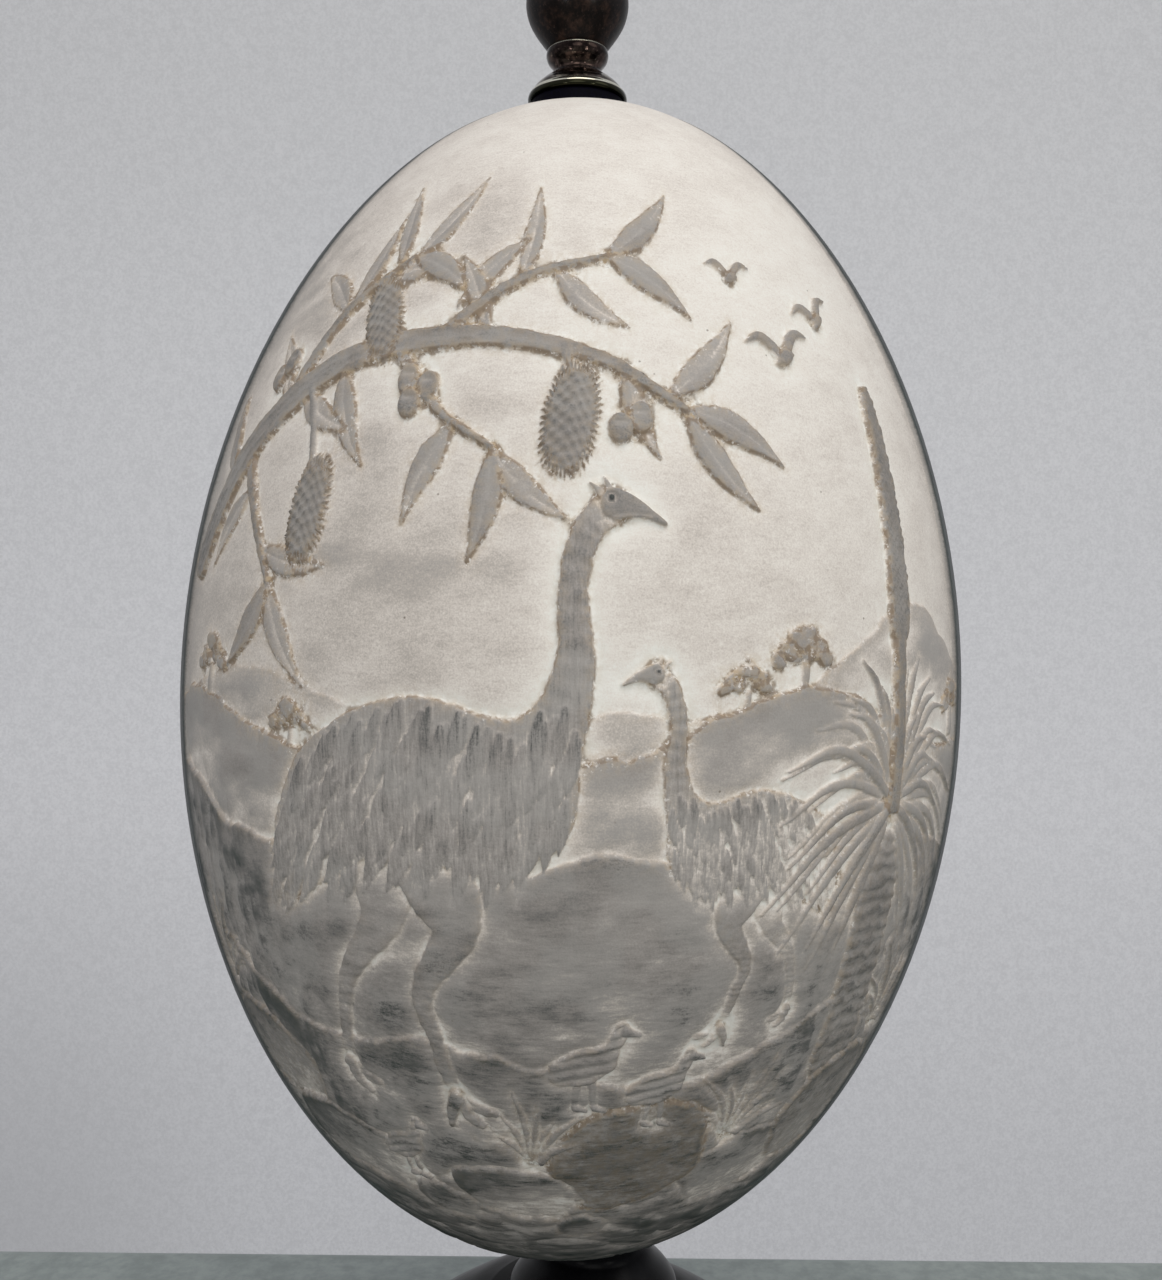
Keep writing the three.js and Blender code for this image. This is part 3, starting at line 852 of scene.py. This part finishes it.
def eggshell():
    """Chalky carved shell, coloured by how deep it was cut, with the dark pebbled skin where it wasn't."""
    f = Finish("eggshell", Specular_IOR_Level=0.35)
    depth = f.attribute("depth")
    fine = f.noise(0.35, 4, 0.6)
    broad = f.noise(2.6, 3, 0.55)
    hatch = f.noise(0.5, 3, 0.6, (0.35, 1, 1.7), (0, 0.6, 0), 3.0)
    low = (f.place.part("Z") * (1 / MM)).below(58, 92)
    scratch = f.noise(0.40, 4, 0.7, (0.16, 1, 1.3), (0, 0.12, 0), 21.0)
    crossing = f.noise(0.45, 3, 0.7, (0.25, 1, 1.2), (0, -0.75, 0), 27.0)
    grain = f.noise(0.16, 2, 0.5, shift=31.0)
    worked = (scratch - 0.5) * (0.06 + low * 0.50) + (crossing - 0.5) * (0.04 + low * 0.24)
    worked = worked + (grain - 0.5) * 0.22
    cut = depth + (fine - 0.5) * 0.10 * depth.above(0.05, 0.3) + (broad - 0.5) * 0.08 + (hatch - 0.5) * 0.08
    strands = f.noise(0.26, 3, 0.6, (1, 1, 0.10), (0, 0.22, 0), 35.0)
    swirls = f.noise(2.0, 4, 0.6, (0.45, 1, 1.2), (0, 0.15, 0), 39.0)
    worked = worked + (strands - 0.5) * f.attribute("hair") * 0.55 + (swirls - 0.5) * low * 0.70
    cut = cut + worked * depth.above(0.10, 0.25)
    layers = f.ramp(cut, LAYERS)
    cool = f.noise(6.5, 3, 0.5, shift=43.0).above(0.44, 0.60) * cut.above(0.18, 0.28) * cut.below(0.42, 0.56)
    layers = f.mix(cool * 0.35, layers, (0.368, 0.354, 0.334))
    patches = f.noise(0.8, 4, 0.65, shift=7.0)
    stain = f.attribute("stain") * patches.above(0.36, 0.62)
    edge = f.attribute("stain")
    stained = f.mix(stain * 0.85, layers, (0.455, 0.350, 0.232))
    cracks = f.noise(0.9, 3, 0.65, shift=13.0).above(0.44, 0.54) * edge.above(0.42, 0.72)
    stained = f.mix(cracks * 0.7, stained, (0.200, 0.142, 0.092))
    chips = f.noise(0.40, 3, 0.6, shift=17.0).above(0.60, 0.66) * edge.above(0.12, 0.4) * cut.above(0.34, 0.5)
    stained = f.mix(chips * 0.75, stained, (0.80, 0.765, 0.72))
    earth = f.attribute("brown") * patches.above(0.30, 0.75)
    earthy = f.mix(earth * 0.8, stained, (0.185, 0.150, 0.108))
    dot = f.cells(2.3)
    pores = dot.below(0.035, 0.06) * f.noise(3.0, 2, 0.5, shift=11.0).above(0.5, 0.62)
    colour = f.mix(pores * 0.7 * depth.above(0.3, 0.5), earthy, (0.16, 0.13, 0.10))
    pebble = f.cells(0.75)
    natural = depth.below(0.03, 0.10)
    worn = f.noise(5.0, 4, 0.6, shift=5.0).above(0.45, 0.7)
    skin = f.mix(pebble.below(0.15, 0.55), (0.006, 0.010, 0.009), (0.022, 0.036, 0.030))
    skin = f.mix(worn * 0.5, skin, (0.030, 0.046, 0.044))
    # Painted shade: the egg's colour is darkened towards its bottom, as if lit from above.
    lower_egg_painted_shade = f.mix(low * 0.22, colour, (0.05, 0.05, 0.045))
    whole = f.mix(natural, lower_egg_painted_shade, skin)
    rough = 0.62 - natural * 0.20 + (fine - 0.5) * 0.1
    tools = fine + hatch * 0.6 + scratch * (0.4 + low) + grain * 0.4 - strands * f.attribute("hair") * 1.5
    tooled = f.bump(tools, depth=0.035, strength=0.65)
    scale = f.bump(pebble.below(0.1, 0.6) * natural, depth=0.07, strength=0.9, under=tooled)
    return f.give(Base_Color=whole, Roughness=rough, Normal=scale)


def ebonised_wood():
    """Black lacquer over turned wood: fine turning rings and a little dust."""
    f = Finish("ebonised_wood", Specular_IOR_Level=0.04, Coat_Roughness=0.25)
    height = f.place.part("Z")
    rings = (height * (1 / (0.42 * MM)) + f.noise(6, 2) * 2).math("SINE")
    grain = f.noise(0.5, 4, 0.6, (1, 1, 0.12))
    dust = f.noise(0.35, 5, 0.75, shift=4.0).above(0.60, 0.80)
    black = f.mix(grain.above(0.35, 0.75), (0.0008, 0.0008, 0.0012), (0.0024, 0.0022, 0.0028))
    colour = f.mix(dust * 0.12, black, (0.055, 0.055, 0.062))
    rough = 0.30 + (f.noise(3.5, 4, 0.6) - 0.5) * 0.16 + dust * 0.3
    normal = f.bump(rings * 0.5 + grain, depth=0.012, strength=0.5)
    level = height * (1 / MM)
    polish = 0.02 + level.above(22.0, 23.0) * level.below(26.5, 28.5) * 0.22
    polish = polish * f.noise(9, 2).above(0.2, 0.5)
    return f.give(Base_Color=colour, Roughness=rough, Coat_Weight=polish, Normal=normal)


def black_washer():
    f = Finish("black_washer", Specular_IOR_Level=0.04)
    fine = f.noise(0.25, 4, 0.6)
    colour = f.mix(fine.above(0.4, 0.7), (0.0006, 0.0004, 0.0020), (0.0022, 0.0016, 0.0070))
    rough = 0.55 + (fine - 0.5) * 0.3
    return f.give(Base_Color=colour, Roughness=rough, Normal=f.bump(fine, depth=0.02, strength=0.5))


def tarnished_metal():
    """Plate gone dark brown, rubbed bright along its rims."""
    f = Finish("tarnished_metal", Metallic=1.0)
    height = (f.place.part("Z") - POLE_TOP * MM) * (1 / MM)
    cloud = f.noise(0.9, 5, 0.62)
    tarnish = f.mix(cloud.above(0.38, 0.66), (0.016, 0.011, 0.010), (0.085, 0.058, 0.048))
    spots = f.noise(0.40, 3, 0.6, shift=2.0).above(0.62, 0.70)
    freckled = f.mix(spots * 0.5, tarnish, (0.34, 0.27, 0.21))
    shaded = f.mix(height.above(5.8, 6.4) * 0.7, freckled, (0.008, 0.006, 0.006))
    # Painted shade: the flange's lower edge, below its rim, is coloured dark olive.
    painted_shade = f.mix(height.below(1.60, 1.72), shaded, (0.020, 0.020, 0.012))
    rim_low = height.above(1.66, 1.76) * height.below(2.14, 2.30)
    rim_high = height.above(6.88, 6.96)
    wear = (rim_low + rim_high) * f.noise(1.6, 3, 0.6, shift=6.0).above(0.10, 0.35)
    bell = height.above(2.2, 2.4) * height.below(3.2, 4.0) * f.noise(1.2, 3, 0.6, shift=9.0).above(0.42, 0.62)
    rubbed = f.mix(bell * 0.5, painted_shade, (0.40, 0.36, 0.28))
    colour = f.mix(wear * 0.9, rubbed, (0.86, 0.83, 0.68))
    rough = 0.12 + (cloud - 0.5) * 0.12
    grain = f.bump(f.noise(0.3, 4, 0.6), depth=0.008, strength=0.5)
    return f.give(Base_Color=colour, Roughness=rough, Normal=grain)


def dark_wood():
    """Near-black brown wood under old polish, with redder figure and small pores."""
    f = Finish("dark_wood", Specular_IOR_Level=0.10, Coat_Roughness=0.22)
    figure = f.noise(1.5, 5, 0.68, (1, 1, 0.85), (0.3, 0.2, 0))
    pores = f.noise(0.30, 3, 0.7, (1, 1, 0.6), shift=3.0).above(0.58, 0.72)
    brown = f.ramp(figure, [(0.34, (0.0022, 0.0015, 0.0014)), (0.50, (0.0068, 0.0038, 0.0030)),
                            (0.66, (0.034, 0.018, 0.0125))])
    colour = f.mix(pores * 0.45, brown, (0.070, 0.044, 0.034))
    rough = 0.34 + (figure - 0.5) * 0.25
    return f.give(Base_Color=colour, Roughness=rough, Coat_Weight=0.03 + figure * 0.08,
                  Normal=f.bump(figure + pores, depth=0.02, strength=0.4))


def studio_floor():
    f = Finish("studio_floor", Specular_IOR_Level=0.3)
    mottle = f.noise(9, 4, 0.6) * 0.5 + f.noise(2.5, 3, 0.7, shift=15.0) * 0.5
    colour = f.mix(mottle.above(0.35, 0.65), (0.225, 0.258, 0.250), (0.320, 0.356, 0.345))
    return f.give(Base_Color=colour, Roughness=0.5 + (mottle - 0.5) * 0.2)


def painted_wall():
    """Grained pale paint, with painted shade that darkens it a little at the top and in the lower left
    corner.
    """
    f = Finish("painted_wall", Specular_IOR_Level=0.2)
    mottle = f.noise(7, 4, 0.6) * 0.3 + f.noise(1.7, 3, 0.7, shift=15.0) * 0.7
    paint = f.mix(mottle.above(0.35, 0.65), (0.602, 0.602, 0.609), (0.692, 0.692, 0.699))
    aside, height = f.place.part("X"), f.place.part("Z")
    # Painted shade: the wall is darkened a little towards the top and in the lower left corner.
    corner = aside.below(-0.36, -0.16) * height.below(-0.30, 0.05)
    painted_shade = corner * 0.42 + height.above(0.20, 0.45) * 0.15
    colour = f.mix(painted_shade, paint, (0.40, 0.40, 0.405))
    rough = 0.7 + (mottle - 0.5) * 0.1
    grain = f.bump(f.noise(3.5, 3, 0.6), depth=0.35, strength=0.5)
    return f.give(Base_Color=colour, Roughness=rough, Normal=grain)


# The turned pieces, as (radius, height) pairs

BASE = ([(33.6, 0.0)] + curve([(34.2, 0.5), (34.8, 2.6), (34.3, 4.6), (33.0, 5.7)], 6)
        + [(31.2, 5.85), (31.0, 6.6), (30.4, 6.8)]
        + curve([(30.0, 7.5), (28.35, 9.95), (24.3, 13.9), (19.5, 17.45), (14.75, 20.4), (10.9, 21.9)], 10))
COLLAR = ([(8.8, 22.0)] + curve([(9.1, 22.05), (10.1, 23.4), (9.3, 25.0), (7.6, 26.8), (6.4, 28.2)], 9)
          + [(6.05, 28.6), (6.0, 29.2), (6.0, 32.0)])
# The heights of what stands on the egg are above the egg's upper pole
WASHER = [(5.35, -3.0), (5.5, -2.8), (5.52, 0.7), (5.45, 0.9), (5.3, 1.0)]
FERRULE = ([(5.45, 1.05), (5.66, 1.08), (5.78, 1.2), (5.80, 1.4), (5.74, 1.7), (5.62, 1.92), (5.48, 2.02)]
           + curve([(5.38, 2.12), (4.85, 2.85), (3.85, 3.7), (2.95, 4.3), (2.72, 4.65), (2.95, 5.15),
                    (3.42, 5.75), (3.62, 6.3)], 6)
           + [(3.63, 6.55), (3.59, 6.85), (3.55, 7.0), (3.50, 7.08), (3.40, 7.1)])
FINIAL = ([(3.3, 7.15)]
          + curve([(3.45, 7.2), (4.3, 8.3), (5.12, 9.5), (5.7, 10.7), (5.98, 12.2), (5.8, 13.8),
                   (5.25, 15.1), (4.4, 16.4), (3.2, 17.4), (1.8, 18.2)], 5)
          + [(1.55, 18.3), (1.5, 18.45)]
          + curve([(1.72, 18.6), (2.1, 19.5), (1.5, 20.7), (0.7, 21.15), (0.12, 21.28)], 6))


def above_pole(profile):
    return [(radius, height + POLE_TOP) for radius, height in profile]


# Camera and light

def camera():
    bpy.context.scene.view_settings.view_transform = "Standard"
    level = math.radians(90)
    bpy.ops.object.camera_add(location=CAMERA_PLACE, rotation=(level - CAMERA_DIP, 0, 0))
    view = bpy.context.object
    view.data.lens = LENS
    view.data.sensor_width = 36
    view.data.clip_start = 0.01
    bpy.context.scene.camera = view


def area_light(name, place, aim, size, power, colour):
    bpy.ops.object.light_add(type="AREA", location=place)
    light = bpy.context.object
    light.name = name
    light.data.shape = "DISK"
    light.data.size = size
    light.data.energy = power
    light.data.color = colour
    away = np.array(place) - np.array(aim)
    flat = math.hypot(away[0], away[1])
    light.rotation_euler = (math.atan2(flat, away[2]), 0, math.atan2(away[0], -away[1]) if flat else 0)


def slab(name, size, middle, bevel, material, turn=0.0):
    clear_selection()
    bpy.ops.mesh.primitive_cube_add(size=1, location=middle, scale=size, rotation=(0, 0, math.radians(turn)))
    piece = placed_in_mesh(bpy.context.object)
    piece.name = name
    bpy.ops.object.mode_set(mode="EDIT")
    bpy.ops.mesh.select_all(action="SELECT")
    bpy.ops.mesh.bevel(offset=bevel, segments=6)
    bpy.ops.object.mode_set(mode="OBJECT")
    bpy.ops.object.shade_smooth_by_angle(angle=SMOOTH_UNDER)
    piece.data.materials.append(material)


def studio():
    slab("floor", (2.4, 1.2, 0.03), (0, 0.0515 - 0.6, -0.015), 0.004, studio_floor(), -1.1)
    slab("backdrop", (4.0, 0.02, 3.0), (0, 0.62, 0.3), 0.002, painted_wall())
    world = bpy.data.worlds.new("room")
    bpy.context.scene.world = world
    world.use_nodes = True
    background = world.node_tree.nodes["Background"]
    background.inputs["Color"].default_value = (0.81, 0.82, 0.86, 1)
    background.inputs["Strength"].default_value = 0.76
    area_light("ceiling", (0.10, -0.35, 0.95), (0, 0, 0.10), 0.7, 2.2, (1.0, 0.97, 0.90))
    area_light("front", (0.0, -0.95, 0.45), (0, 0, 0.10), 0.6, 1.8, (1.0, 0.97, 0.92))
    area_light("window", (0.75, -0.45, 0.55), (0, 0, 0.11), 0.5, 1.0, (1.0, 0.98, 0.94))
    area_light("lamp_left", (-0.215, -0.44, 0.045), (0, 0, 0.168), 0.05, 0.12, (1.0, 0.95, 0.94))
    area_light("lamp_right", (0.30, -0.42, 0.055), (0, 0, 0.168), 0.055, 0.16, (1.0, 0.98, 0.93))


def dress(piece, material, slot, *nodes):
    piece.data.materials.clear()
    piece.data.materials.append(material)
    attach(piece, "root")
    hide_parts(*nodes)


camera()
studio()
dress(made_egg(), eggshell(), "eggshell", "egg")
black = ebonised_wood()
dress(turned("turned_base", BASE, 160), black, "ebonised_wood", "stand_base")
knob = bedded(turned("turned_collar", COLLAR, 96, COLLAR_OFFSET), 0.06)
dress(knob, black, "ebonised_wood", "stand_collar")
dress(bedded(turned("seat_washer", above_pole(WASHER), 96), 0.03), black_washer(), "black_washer", "washer")
dress(turned("metal_ferrule", above_pole(FERRULE), 96), tarnished_metal(), "tarnished_metal", "ferrule")
dress(turned("turned_finial", above_pole(FINIAL), 96), dark_wood(), "dark_wood", "finial")
